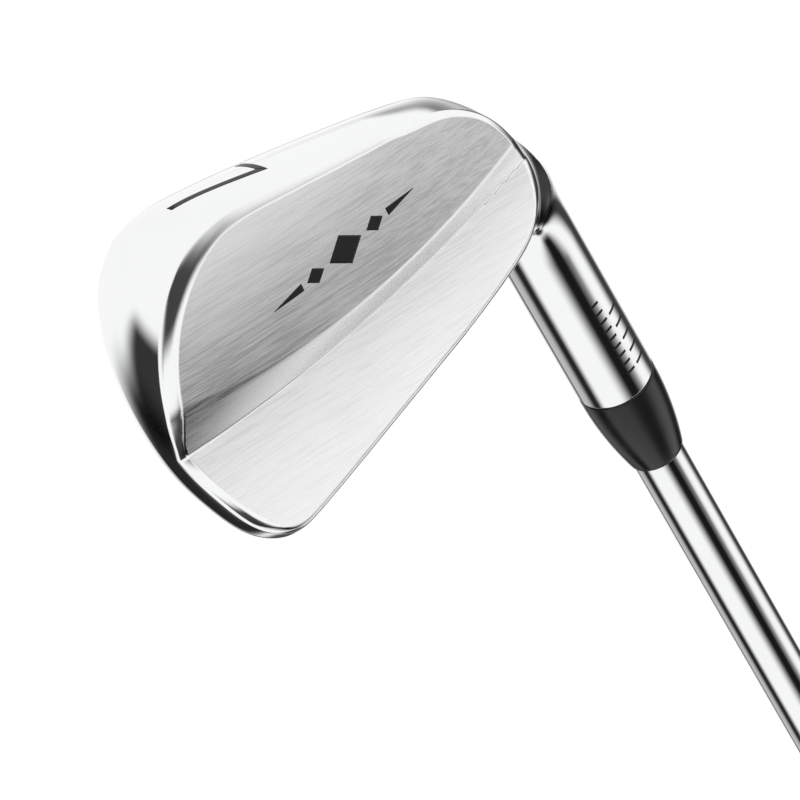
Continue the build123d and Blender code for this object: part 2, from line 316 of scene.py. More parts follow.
@dataclass
class HeadForm:
    """The head as one field that is negative inside the metal, in the face frame.

    The wall is the outline of the blade at each depth, blended from the face's outline to the back's.
    A rounded minimum joins it to the hosel's cylinder, and the milled back planes cut the result.
    """

    sizes: ClubSizes = field(default_factory=ClubSizes)
    centre: tuple[float, float] = (36.0, 24.0)
    span: float = 18.0
    front: tuple[tuple[float, float], ...] = (
        (56.5, 53.6), (62.8, 55.2), (68.9, 52.7), (73.7, 46.7), (77.2, 39.6), (79.1, 31.5), (79.5, 24.0),
        (78.2, 15.4), (74.2, 7.2), (66.5, 1.5), (54.0, -0.7), (38.0, -1.5), (22.0, -1.8),
        (10.0, -1.8), (3.0, -0.9), (-3.8, 2.9), (-8.2, 8.3), (-9.8, 15.4), (-6.2, 24.4),
        (4.0, 30.9), (21.5, 38.5), (39.0, 46.1))
    back: tuple[tuple[float, float], ...] = (
        (53.5, 52.3), (59.6, 52.4), (64.6, 48.8), (67.6, 43.2), (69.2, 37.4), (69.8, 31.0), (69.4, 25.4),
        (67.8, 20.8), (65.2, 16.8), (61.4, 12.8), (56.5, 10.1), (49.0, 9.2), (38.0, 9.0), (24.0, 8.2),
        (15.5, 6.6), (9.0, 7.0), (5.2, 9.2), (3.0, 12.6), (1.6, 16.8), (2.2, 21.6), (4.8, 26.0),
        (10.0, 31.6), (21.5, 38.5), (39.0, 46.1))
    heel_camber: float = 1.0
    toe_camber: float = 2.3
    blade: float = 5.0
    step: float = 8.2
    slope: float = 0.33
    muscle_crown: float = 0.0025
    muscle_middle: float = 11.0
    blade_crown: float = 0.0038
    blade_middle: float = 7.0
    chamfer_width: float = 2.0
    chamfer_fall: float = 0.66
    chamfer_bend: float = 1.3
    lead_radius: float = 1.6
    edge_radius: float = 0.35
    crease_radius: float = 0.15
    score_heel: float = 12.0
    score_toe: float = 63.0
    score_low: float = 4.5
    score_high: float = 39.7
    hosel_foot: float = 24.0
    fillet: float = 9.0

    def __post_init__(self) -> None:
        """Fit the two outlines and put the shaft's axis into the face frame."""
        self.front_outline = PolarOutline(self.front, self.centre)
        self.back_outline = PolarOutline(self.back, self.centre)
        heel = np.array([[0.0, 0.0, self.sizes.length]])
        self.axis_point = self.sizes.to_face(heel)[0]
        self.axis_dir = -self.sizes.face_axes[:, 2]

    def step_high(self, u: Array) -> Array:
        """Height of the muscle's upper edge: a parabola that flattens toward the toe."""
        return 13.1 + 0.3754 * (u + 1.0) - 0.002753 * (u + 1.0) * (u - 30.7)

    def step_low(self, u: Array) -> Array:
        """Height of the bevel's foot on the upper blade: a flatter parabola."""
        return 16.4 + 0.348 * (u + 1.9) - 0.001468 * (u + 1.9) * (u - 30.0)

    def back_depth(self, u: Array, v: Array) -> Array:
        """Depth of the milled back: the sloped muscle, a straight bevel and the upper blade.

        Formula: muscle and upper blade are planes less a small crown, which grows as the square of the
        height above or below their middle.

        Args:
            u: distance to the toe.
            v: height on the face.

        Returns:
            Depth w of the back.
        """
        high, low = self.step_high(u), self.step_low(u)
        middle = high - self.muscle_middle
        muscle = self.step + self.slope * (high - v)
        muscle = muscle - self.muscle_crown * ((v - middle) ** 2 - self.muscle_middle ** 2)
        bevel = self.step - (v - high) * (self.step - self.blade) / (low - high)
        above = v - low - self.blade_middle
        flat = self.blade - self.blade_crown * (above ** 2 - self.blade_middle ** 2)
        return smooth_max(smooth_min(muscle, bevel, 0.25), flat, 0.2)

    def score_start(self, v: Array) -> Array:
        """Heel end of the scored area at a height: upright, then leaning along under the topline."""
        return np.maximum(self.score_heel, self.score_heel + 2.304 * (v - 30.9))

    def face_sink(self, u: Array, v: Array) -> Array:
        """Depth of the pocket under the scored plate: full a little inside the plate's outline.

        Args:
            u: distance to the toe.
            v: height on the face.

        Returns:
            Depth of the pocket.
        """
        inside = np.minimum(np.minimum(u - self.score_start(v) + 1.0, self.score_toe + 1.0 - u),
                            np.minimum(v - self.score_low + 1.6, self.score_high + 1.6 - v))
        return 0.6 * smooth_step(inside, 0.0, 0.6)

    def outline_radius(self, angle: Array, depth: Array) -> Array:
        """Radius of the wall at an angle and a depth.

        Formula: the back outline's share is a power of the depth, straight at the heel and bowed elsewhere.

        Args:
            angle: angle about the centre.
            depth: depth behind the face.

        Returns:
            Radius of the wall.
        """
        bow = smooth_step(np.cos(angle), -0.9, -0.5)
        camber = self.heel_camber + (self.toe_camber - self.heel_camber) * bow
        share = np.clip(depth / self.span, 0.0, 1.2) ** camber
        return self.front_outline.radius(angle) * (1.0 - share) + self.back_outline.radius(angle) * share

    def wall(self, points: Array) -> Array:
        """Distance outside the blade's wall: radius beyond the outline times the outline's slant.

        Args:
            points: points in the face frame.

        Returns:
            Distance outside the wall, negative inside.
        """
        du, dv = points[..., 0] - self.centre[0], points[..., 1] - self.centre[1]
        angle, reach = np.arctan2(dv, du), np.hypot(du, dv)
        turn = 0.002
        radius = self.outline_radius(angle, points[..., 2])
        slant = (self.outline_radius(angle + turn, points[..., 2]) - radius) / (turn * radius)
        return (reach - radius) / np.sqrt(1.0 + slant * slant)

    def chamfer_reach(self, points: Array) -> Array:
        """Width of the rim's chamfer: full on the muscle's toe, narrower above it, fading to the heel.

        Args:
            points: points in the face frame.

        Returns:
            Width of the chamfer at each point.
        """
        u, v = points[..., 0], points[..., 1]
        size = 0.55 + 0.45 * smooth_step(u, 20.0, 72.0)
        size = size * (1.0 - 0.35 * smooth_step(v - self.step_high(u), 0.0, 5.0))
        return self.chamfer_width * size * (1.0 - 0.8 * smooth_step(v - 0.44 * u, 21.0, 29.0))

    def chamfer_depth(self, points: Array, wall: Array) -> Array:
        """Drop of the chamfer below the back: a bent ramp that starts its own width inside the wall.

        Args:
            points: points in the face frame.
            wall: their distance outside the wall.

        Returns:
            Drop below the milled back.
        """
        reach = self.chamfer_reach(points)
        share = np.clip(1.0 + wall / reach, 0.0, 1.3)
        return self.chamfer_fall * reach * share ** self.chamfer_bend

    def field(self, points: Array) -> Array:
        """Signed field of the whole head: rounded union of blade and hosel, cut by chamfer and back.

        Args:
            points: points in the face frame.

        Returns:
            Signed field, negative inside the metal.
        """
        wall = self.wall(points)
        block = smooth_max(wall, -points[..., 2], self.lead_radius)
        away = points - self.axis_point
        along = np.maximum(away @ self.axis_dir, self.hosel_foot)
        hosel = np.linalg.norm(away - along[..., None] * self.axis_dir, axis=-1) - self.sizes.hosel_radius
        body = smooth_min(block, hosel, self.fillet)
        over = points[..., 2] - self.back_depth(points[..., 0], points[..., 1])
        cut = (over + self.chamfer_depth(points, wall)) / math.hypot(1.0, self.chamfer_fall)
        edge = self.edge_radius + 0.85 * smooth_step(points[..., 1] - 0.44 * points[..., 0], 21.0, 29.0)
        return smooth_max(smooth_max(body, cut, edge), 0.95 * over, self.crease_radius)

    def normals(self, points: Array, reach: float = 0.03) -> Array:
        """Outward unit normals: central differences of the field over a small reach.

        Args:
            points: points in the face frame.
            reach: half the width of each difference.

        Returns:
            Unit normals.
        """
        gradient = np.empty_like(points)
        for axis in range(3):
            shift = np.zeros(3)
            shift[axis] = reach
            gradient[..., axis] = self.field(points + shift) - self.field(points - shift)
        return unit(gradient)

    def march(self, start: Array, heading: Array, reach: Array, sink: Array = 0.0) -> Array:
        """Points where rays from inside cross the surface, by bisection.

        Args:
            start: ray origins inside the metal.
            heading: unit ray directions.
            reach: furthest distance along each ray; a ray still inside there stops there.
            sink: how far under the surface the crossing is wanted.

        Returns:
            The crossing points.
        """
        low = np.zeros(start.shape[:-1])
        high = np.broadcast_to(reach, low.shape).astype(float).copy()
        for _ in range(24):
            middle = 0.5 * (low + high)
            inside = self.field(start + heading * middle[..., None]) < -sink
            low = np.where(inside, middle, low)
            high = np.where(inside, high, middle)
        return start + heading * (0.5 * (low + high))[..., None]


# ---- the head's shells -----------------------------------------------------------------------------------
def turn_outward(points: Array, faces: Sequence[Array]) -> list[Array]:
    """Faces of a closed shell, all turned over if its signed volume is negative.

    Formula: the volume is a sixth of the sum of the triple products of the corners of each triangle.

    Args:
        points: (n, 3) points.
        faces: arrays of quads or triangles.

    Returns:
        The faces in the same order, pointing outwards.
    """
    volume = 0.0
    for block in faces:
        for second in range(1, block.shape[1] - 1):
            a, b, c = points[block[:, 0]], points[block[:, second]], points[block[:, second + 1]]
            volume += float(np.einsum("ij,ij->", a, np.cross(b, c)))
    return [block if volume > 0.0 else block[:, ::-1] for block in faces]


@dataclass
class Shell:
    """A closed surface in the face frame with its outward normals."""

    points: Array
    normals: Array
    faces: list[Array]


@dataclass
class BladeShell:
    """The blade as a polar grid of rays marched to the form's surface.

    Columns run round the outline. Rows run from the middle of the back out over the rim, down the wall,
    round the leading edge and back to the middle of the face. Rows crowd along every crease.
    """

    form: HeadForm
    columns: int = 640
    back_pivot: float = 1.6
    lead_pivot: float = 1.9
    overreach: float = 2.5
    sink: float = 0.03
    back_rows: int = 28
    wall_rows: int = 18
    face_rows: int = 26
    crease_steps: tuple[float, ...] = (-0.5, -0.25, -0.12, 0.0, 0.12, 0.25, 0.5)
    chamfer_steps: tuple[float, ...] = (-0.5, -0.25, -0.1, 0.1, 0.25, 0.5)
    rim_turns: tuple[float, ...] = (80, 70, 61, 55, 51.5, 49, 47, 45, 43, 41, 38.5, 35, 29, 20, 10, 0)
    lead_turns: tuple[float, ...] = (-9, -18, -27, -36, -45, -54, -63, -72, -81)

    def build(self) -> Shell:
        """Shell of the blade, sunk a little where the neck stands further out.

        Returns:
            The shell in the face frame.
        """
        form = self.form
        angle = self.column_angles()
        radial = np.stack([np.cos(angle), np.sin(angle), np.zeros_like(angle)], axis=-1)
        across = np.array([0.0, 0.0, 1.0])
        rim_radius, rim_depth = self.rim(angle)
        rows = [self.back_row(radius, radial) for radius in self.back_radii(angle, rim_radius)]
        pivot = self.place(rim_radius - self.back_pivot, radial, rim_depth - self.back_pivot)
        rows += self.fan_rows(pivot, radial, self.rim_turns, self.back_pivot)
        for share in np.linspace(0.0, 1.0, self.wall_rows + 2)[1:]:
            depth = (rim_depth - self.back_pivot) * (1.0 - share) + self.lead_pivot * share
            outline = form.outline_radius(angle, depth)
            start = self.place(outline - 3.0, radial, depth)
            rows.append(form.march(start, radial, np.full_like(angle, 3.0 + self.overreach)))
        lead_radius = form.outline_radius(angle, np.full_like(angle, self.lead_pivot)) - self.lead_pivot
        pivot = self.place(lead_radius, radial, np.full_like(angle, self.lead_pivot))
        rows += self.fan_rows(pivot, radial, self.lead_turns, self.lead_pivot)
        for share in np.linspace(1.0, 0.03, self.face_rows):
            start = self.place(lead_radius * share, radial, np.full_like(angle, self.lead_pivot))
            reach = np.full_like(angle, self.lead_pivot + self.overreach)
            rows.append(form.march(start, -across[None], reach))
        grid = np.stack(rows)
        tips = self.tips()
        points = np.concatenate([grid.reshape(-1, 3), tips])
        normals = form.normals(points)
        standing = smooth_max(form.wall(points), -points[:, 2], form.lead_radius)
        points = points - normals * (self.sink * smooth_step(standing, 1.2, 1.8))[:, None]
        first, last = np.arange(self.columns), np.arange(self.columns) + (len(rows) - 1) * self.columns
        points[:, 2] += np.where(normals[:, 2] < -0.9, form.face_sink(points[:, 0], points[:, 1]), 0.0)
        count = len(rows) * self.columns
        faces = [grid_quads(len(rows), self.columns), fan(first, count, True), fan(last, count + 1, False)]
        return Shell(points, normals, turn_outward(points, faces))

    def column_angles(self) -> Array:
        """Angles of the columns, evenly spaced by length along the face's outline.

        Returns:
            Angles about the centre.
        """
        dense = np.linspace(-math.pi, math.pi, 7201)
        radius = self.form.front_outline.radius(dense)
        line = np.stack([radius * np.cos(dense), radius * np.sin(dense)], axis=-1)
        length = np.concatenate([[0.0], np.cumsum(np.linalg.norm(np.diff(line, axis=0), axis=1))])
        return np.interp(np.linspace(0.0, length[-1], self.columns, endpoint=False), length, dense)

    def place(self, radius: Array, radial: Array, depth: Array) -> Array:
        """Points at a radius from the centre along the radial directions, at a depth.

        Args:
            radius: radius of each point.
            radial: outward direction of each column.
            depth: depth of each point.

        Returns:
            The points in the face frame.
        """
        points = radial * np.asarray(radius)[..., None]
        points = points + np.array([self.form.centre[0], self.form.centre[1], 0.0])
        points[..., 2] = depth
        return points

    def rim(self, angle: Array) -> tuple[Array, Array]:
        """Radius and depth of the sharp rim of the back, by fixed-point iteration down the wall.

        Args:
            angle: angles of the columns.

        Returns:
            Radius and depth of the rim at each angle.
        """
        form = self.form
        radial = np.stack([np.cos(angle), np.sin(angle), np.zeros_like(angle)], axis=-1)
        depth = np.full_like(angle, form.blade)
        for _ in range(8):
            radius = form.outline_radius(angle, depth)
            points = self.place(radius, radial, depth)
            depth = form.back_depth(points[:, 0], points[:, 1]) - form.chamfer_depth(points, 0.0 * angle)
        return radius, depth

    def crossing(self, angle: Array, value: Callable[[Array], Array], level: float, limit: Array) -> Array:
        """Radius at which a function of the back's points first reaches a level, by bisection.

        Args:
            angle: angles of the columns.
            value: function of points.
            level: value to reach.
            limit: largest radius.

        Returns:
            Radius of the crossing at each angle.
        """
        radial = np.stack([np.cos(angle), np.sin(angle), np.zeros_like(angle)], axis=-1)
        low, high = np.zeros_like(limit), limit.copy()
        for _ in range(20):
            middle = 0.5 * (low + high)
            points = self.place(middle, radial, np.zeros_like(angle))
            points[:, 2] = self.form.back_depth(points[:, 0], points[:, 1])
            below = value(points) < level
            low, high = np.where(below, middle, low), np.where(below, high, middle)
        return 0.5 * (low + high)

    def back_radii(self, angle: Array, rim_radius: Array) -> Array:
        """Radii of the rows over the back: even ones and those along the creases, sorted on each ray.

        Args:
            angle: angles of the columns.
            rim_radius: radius of the rim at each angle.

        Returns:
            Radii, one row a station.
        """
        form = self.form
        limit = rim_radius - self.back_pivot
        stations = [limit * share for share in np.linspace(0.03, 1.0, self.back_rows)]
        tests = [(lambda p: p[:, 1] - form.step_high(p[:, 0]), self.crease_steps, 0.0),
                 (lambda p: p[:, 1] - form.step_low(p[:, 0]), self.crease_steps, 0.0),
                 (lambda p: form.wall(p) + form.chamfer_reach(p), self.chamfer_steps, 0.0)]
        for value, steps, level in tests:
            stations += [self.crossing(angle, value, level + step, limit) for step in steps]
        ordered = np.sort(np.stack(stations), axis=0)
        even = np.linspace(0.03, 1.0, len(ordered))[:, None] * limit
        return ordered * 0.997 + even * 0.003

    def back_row(self, radius: Array, radial: Array) -> Array:
        """One row over the back, marched outwards from just behind the face."""
        start = self.place(radius, radial, np.full_like(radius, 1.2))
        return self.form.march(start, np.array([[0.0, 0.0, 1.0]]), np.full_like(radius, 20.0))

    def fan_rows(self, pivot: Array, radial: Array, turns: Sequence[float], inset: float) -> list[Array]:
        """Rows round an edge: rays from a pivot inside it, turned from the depth axis to the radial one.

        Args:
            pivot: pivot of each column.
            radial: outward direction of each column.
            turns: angles of the rays in degrees.
            inset: distance from the pivot to the edge.

        Returns:
            One row of points a turn.
        """
        rows = []
        for turn in np.radians(turns):
            heading = radial * math.cos(turn) + np.array([0.0, 0.0, math.sin(turn)])
            rows.append(self.form.march(pivot, heading, np.full(len(pivot), 1.5 * inset + self.overreach)))
        return rows

    def tips(self) -> Array:
        """The two pole points, on the back and on the face.

        Returns:
            The two tips.
        """
        u, v = self.form.centre
        start = np.array([[u, v, 1.2], [u, v, 1.2]])
        return self.form.march(start, np.array([[0.0, 0.0, 1.0], [0.0, 0.0, -1.0]]), np.full(2, 20.0))


@dataclass
class NeckShell:
    """The hosel and the neck as rings of rays marched out from the shaft's axis."""

    form: HeadForm
    columns: int = 200
    reach: float = 15.0
    sink: float = 0.03
    foot: float = 3.0
    end_rounding: float = 0.35

    def build(self) -> Shell:
        """Shell of the neck, sunk a little where the blade stands further out.

        Returns:
            The shell in the face frame.
        """
        form = self.form
        top = form.sizes.hosel_length
        along = np.concatenate([np.arange(self.foot, 42.0, 0.55), np.arange(42.0, top - 1.0, 1.6),
                                top - self.end_rounding * np.array([1.6, 1.0, 0.6, 0.3, 0.1, 0.0])])
        turn = np.linspace(0.0, 2.0 * math.pi, self.columns, endpoint=False)
        first = unit(np.cross(form.axis_dir, np.array([0.0, 0.0, 1.0])))
        second = np.cross(form.axis_dir, first)
        heading = np.cos(turn)[:, None] * first + np.sin(turn)[:, None] * second
        start = form.axis_point + along[:, None, None] * form.axis_dir
        start = np.broadcast_to(start, (len(along), self.columns, 3))
        grid = form.march(start, heading[None], np.full((len(along), self.columns), self.reach))
        past = np.clip((along - top + self.end_rounding) / self.end_rounding, 0.0, 1.0)
        rounding = self.end_rounding * (1.0 - np.sqrt(1.0 - past ** 2))
        grid = grid - heading[None] * rounding[:, None, None]
        tips = form.axis_point + np.array([[along[0]], [along[-1]]]) * form.axis_dir
        points = np.concatenate([grid.reshape(-1, 3), tips])
        normals = form.normals(points)
        standing = smooth_max(form.wall(points), -points[:, 2], form.lead_radius)
        sunk = self.sink * (1.0 - smooth_step(standing, 1.2, 1.8))
        points = points - normals * sunk[:, None]
        bevel = (past / math.sqrt(2.0))[:, None, None] * form.axis_dir
        grid_normals = unit(normals[:-2].reshape(grid.shape) + bevel)
        normals = np.concatenate([grid_normals.reshape(-1, 3), np.stack([-form.axis_dir, form.axis_dir])])
        count = len(along) * self.columns
        ring = np.arange(self.columns)
        faces = [grid_quads(len(along), self.columns), fan(ring, count, True),
                 fan(ring + count - self.columns, count + 1, False)]
        return Shell(points, normals, turn_outward(points, faces))


# ---- finishes --------------------------------------------------------------------------------------------
class FinishTree:
    """One material's node tree, with short ways to add and join its nodes."""

    def __init__(self, name: str) -> None:
        """Start the tree with its Principled shader.

        Args:
            name: name of the material.
        """
        self.material = bpy.data.materials.new(name)
        self.material.use_nodes = True
        self.nodes = self.material.node_tree.nodes
        self.links = self.material.node_tree.links
        self.shader = self.nodes["Principled BSDF"]

    def add(self, kind: str, inputs: Optional[dict[object, object]] = None,
            **settings: object) -> bpy.types.Node:
        """Add a node, set its properties and feed its inputs.

        Args:
            kind: the node's type name.
            inputs: for each input's name or number, a value or another node's output.
            settings: properties of the node.

        Returns:
            The new node.
        """
        node = self.nodes.new(kind)
        for key, value in settings.items():
            setattr(node, key, value)
        for key, value in (inputs or {}).items():
            self.feed(node.inputs[key], value)
        return node

    def feed(self, socket: bpy.types.NodeSocket, value: object) -> None:
        """Link an output to a socket, or set the socket to a plain value.

        Args:
            socket: the input.
            value: a plain value or another node's output.
        """
        if isinstance(value, bpy.types.NodeSocket):
            self.links.new(value, socket)
        else:
            socket.default_value = value

    def place(self, scale: tuple[float, float, float] = (1.0, 1.0, 1.0),
              turn: tuple[float, float, float] = (0.0, 0.0, 0.0)) -> bpy.types.NodeSocket:
        """Object coordinates, turned by Euler angles and then scaled.

        Args:
            scale: factor along each axis.
            turn: Euler angles in radians.

        Returns:
            The placed coordinates.
        """
        source = self.add("ShaderNodeTexCoord").outputs["Object"]
        turned = self.add("ShaderNodeMapping", {"Vector": source, "Rotation": turn}, vector_type="POINT")
        return self.add("ShaderNodeMapping", {"Vector": turned.outputs[0], "Scale": scale}).outputs[0]

    def noise(self, vector: bpy.types.NodeSocket, scale: float, detail: float = 3.0,
              roughness: float = 0.5) -> bpy.types.NodeSocket:
        """Fractal noise between 0 and 1, with scale in cells a metre."""
        inputs = {"Vector": vector, "Scale": scale, "Detail": detail, "Roughness": roughness}
        return self.add("ShaderNodeTexNoise", inputs).outputs["Fac"]

    def span(self, value: bpy.types.NodeSocket, source: tuple[float, float],
             target: tuple[float, float]) -> bpy.types.NodeSocket:
        """Straight map of a value from one range to another, held at its ends."""
        inputs = {0: value, 1: source[0], 2: source[1], 3: target[0], 4: target[1]}
        return self.add("ShaderNodeMapRange", inputs, clamp=True).outputs[0]

    def sum(self, first: bpy.types.NodeSocket, second: object,
            operation: str = "ADD") -> bpy.types.NodeSocket:
        """Two values joined by one arithmetic operation."""
        return self.add("ShaderNodeMath", {0: first, 1: second}, operation=operation).outputs[0]

    def tint(self, factor: bpy.types.NodeSocket, stops: Sequence[tuple[float, Sequence[float]]]
             ) -> bpy.types.NodeSocket:
        """Colour ramp through the given stops.

        Args:
            factor: place on the ramp.
            stops: place and colour of each stop.

        Returns:
            The ramp's colour.
        """
        node = self.add("ShaderNodeValToRGB", {"Fac": factor})
        elements = node.color_ramp.elements
        while len(elements) < len(stops):
            elements.new(1.0)
        for element, (place, colour) in zip(elements, stops):
            element.position = place
            element.color = (*colour, 1.0)
        return node.outputs["Color"]

    def bump(self, height: bpy.types.NodeSocket, distance: float, strength: float = 1.0) -> None:
        """Raise the surface by a height times a distance in metres."""
        inputs = {"Height": height, "Distance": distance, "Strength": strength}
        self.links.new(self.add("ShaderNodeBump", inputs).outputs[0], self.shader.inputs["Normal"])

    def dress(self, **inputs: object) -> bpy.types.Material:
        """Feed the shader's inputs, named with underscores for spaces, and hand the material over.

        Args:
            inputs: value or output for each of the shader's inputs.

        Returns:
            The finished material.
        """
        for key, value in inputs.items():
            self.feed(self.shader.inputs[key.replace("_", " ")], value)
        return self.material


class HeadFinish(Enum):
    """Finishes of the head, numbered as its material slots."""

    POLISHED = 0
    SATIN = 1


@dataclass(frozen=True)
class PolishedSteel:
    """Plated and polished steel: faint wiping marks, thin smudges and a trace of waviness."""

    name: str
    tone: tuple[float, float, float] = (0.93, 0.935, 0.94)
    roughness: float = 0.05
    smudge: float = 0.05
    grain: float = 2.0e-6
    along: tuple[float, float, float] = (1.0, 1.0, 0.06)

    def build(self) -> bpy.types.Material:
        """Material of the finish."""
        tree = FinishTree(self.name)
        place = tree.place(scale=self.along)
        wipes = tree.noise(place, 9000.0, 2.0)
        cloud = tree.noise(tree.place(), 60.0, 4.0)
        rough = tree.span(cloud, (0.35, 0.75), (self.roughness, self.roughness + self.smudge))
        rough = tree.sum(rough, tree.span(wipes, (0.3, 0.8), (0.0, 0.02)))
        low = tuple(0.97 * channel for channel in self.tone)
        colour = tree.tint(cloud, [(0.3, low), (0.7, self.tone)])
        tree.bump(wipes, self.grain)
        return tree.dress(Base_Color=colour, Metallic=1.0, Roughness=rough)


@dataclass(frozen=True)
class BrushedSteel:
    """Satin steel: fine lines drawn one way by an abrasive belt, under a thin plate."""

    name: str
    turn: tuple[float, float, float]
    tone: tuple[float, float, float] = (0.95, 0.952, 0.955)
    roughness: float = 0.25
    line: float = 3600.0
    depth: float = 2.5e-6
    contrast: float = 0.13

    def build(self) -> bpy.types.Material:
        """Material of the finish."""
        tree = FinishTree(self.name)
        fine = tree.noise(tree.place(scale=(0.03, 1.0, 1.0), turn=self.turn), self.line, 3.0, 0.6)
        broad = tree.noise(tree.place(scale=(0.02, 1.0, 1.0), turn=self.turn), self.line / 4.0, 3.0, 0.6)
        lines = tree.sum(tree.sum(fine, 0.75, "MULTIPLY"), tree.sum(broad, 0.25, "MULTIPLY"))
        cloud = tree.noise(tree.place(), 45.0, 3.0)
        rough = tree.sum(tree.span(lines, (0.35, 0.65), (self.roughness - 0.05, self.roughness + 0.07)),
                         tree.span(cloud, (0.3, 0.7), (-0.02, 0.03)))
        low = tuple((1.0 - self.contrast) * channel for channel in self.tone)
        colour = tree.tint(lines, [(0.36, low), (0.54, self.tone)])
        tree.bump(lines, self.depth)
        return tree.dress(Base_Color=colour, Metallic=1.0, Roughness=rough)


@dataclass(frozen=True)
class Enamel:
    """Paint run into an engraving: a soft uneven gloss with fine dust in it."""

    name: str
    tone: tuple[float, float, float]
    roughness: float = 0.3

    def build(self) -> bpy.types.Material:
        """Material of the finish."""
        tree = FinishTree(self.name)
        cloud = tree.noise(tree.place(), 700.0, 4.0)
        speck = tree.noise(tree.place(), 6000.0, 2.0)
        low = tuple(0.7 * channel for channel in self.tone)
        colour = tree.tint(speck, [(0.3, low), (0.7, self.tone)])
        tree.bump(cloud, 2.0e-5)
        rough = tree.span(speck, (0.3, 0.7), (self.roughness - 0.08, self.roughness + 0.12))
        return tree.dress(Base_Color=colour, Roughness=rough, Specular_IOR_Level=0.2)


@dataclass(frozen=True)
class Plastic:
    """Turned and polished plastic: faint rings from turning and a few rubbed patches."""

    name: str
    tone: tuple[float, float, float]
    roughness: float = 0.12

    def build(self) -> bpy.types.Material:
        """Material of the finish."""
        tree = FinishTree(self.name)
        rings = tree.noise(tree.place(scale=(0.02, 0.02, 1.0)), 5000.0, 2.0)
        cloud = tree.noise(tree.place(), 160.0, 4.0)
        rough = tree.span(cloud, (0.35, 0.75), (self.roughness, self.roughness + 0.1))
        low = tuple(0.6 * channel for channel in self.tone)
        colour = tree.tint(cloud, [(0.3, low), (0.7, self.tone)])
        tree.bump(rings, 3.0e-6)
        return tree.dress(Base_Color=colour, Roughness=rough, Specular_IOR_Level=0.3)


@dataclass(frozen=True)
class Rubber:
    """Moulded rubber: a matt skin with fine grain and dulled patches."""

    name: str
    tone: tuple[float, float, float] = (0.018, 0.018, 0.019)
    roughness: float = 0.62

    def build(self) -> bpy.types.Material:
        """Material of the finish."""
        tree = FinishTree(self.name)
        grain = tree.noise(tree.place(), 3500.0, 4.0, 0.6)
        cloud = tree.noise(tree.place(), 30.0, 4.0)
        high = tuple(1.9 * channel for channel in self.tone)
        colour = tree.tint(cloud, [(0.3, self.tone), (0.75, high)])
        tree.bump(grain, 6.0e-5)
        rough = tree.span(cloud, (0.3, 0.7), (self.roughness - 0.08, self.roughness + 0.12))
        return tree.dress(Base_Color=colour, Roughness=rough)


# ---- sub-assemblies --------------------------------------------------------------------------------------
@dataclass
class Head:
    """The forged head: blade and neck shells, and the plate that carries the scorelines."""

    sizes: ClubSizes
    form: HeadForm
    brush_climb: float = 8.6

    def brush_turn(self) -> tuple[float, float, float]:
        """Euler angles that turn the belt's direction on the back into the X axis.

        Returns:
            Euler angles in radians.
        """
        climb = math.radians(self.brush_climb)
        belt = np.array([math.cos(climb), math.sin(climb), 0.0]) @ self.sizes.face_axes
        out = self.sizes.face_axes[2]
        return tuple(Matrix(np.stack([belt, np.cross(out, belt), out]).tolist()).to_euler())

    def build(self) -> None:
        """Build the head's pieces and dress them."""
        chrome = PolishedSteel("head polished chrome").build()
        satin = BrushedSteel("head satin chrome", self.brush_turn()).build()
        blade = BladeShell(self.form).build()
        neck = NeckShell(self.form).build()
        for name, shell in (("head_blade", blade), ("head_neck", neck)):
            piece = self.shell_piece(name, shell)
            piece.data.materials.append(chrome)
            piece.data.materials.append(satin)
            self.part_finishes(piece, shell)
            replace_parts(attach(piece, ROOT), "club_head")
            log.info("%s: %d faces", name, len(piece.data.polygons))
        ScoredPlate(self.sizes, self.form).build(satin)

    def shell_piece(self, name: str, shell: Shell) -> bpy.types.Object:
        """Mesh of a shell in the club's frame, shaded by the form's own normals.

        Args:
            name: name of the piece.
            shell: its surface in the face frame.

        Returns:
            The new piece.
        """
        piece = make_piece(name, self.sizes.to_club(shell.points), shell.faces)
        normals = shell.normals @ self.sizes.face_axes
        piece.data.normals_split_custom_set_from_vertices(normals.tolist())
        return piece

    def part_finishes(self, piece: bpy.types.Object, shell: Shell) -> None:
        """Give the satin finish to the milled back and to the middle of the face.

        Args:
            piece: piece whose faces are parted.
            shell: its surface in the face frame.
        """
        points, faces = shell.points, shell.faces
        centres = np.concatenate([points[block].mean(axis=1) for block in faces])
        u, v = centres[:, 0], centres[:, 1]
        under = self.form.back_depth(u, v) - centres[:, 2]
        inner = self.form.wall(centres) < -self.form.chamfer_reach(centres) - 0.05
        milled = inner & (under < 0.3)
        face = (centres[:, 2] < 0.05) & (self.form.wall(centres) < -2.5)
        finishes = np.where(milled | face, HeadFinish.SATIN.value, HeadFinish.POLISHED.value)
        piece.data.polygons.foreach_set("material_index", finishes.astype(np.int32))


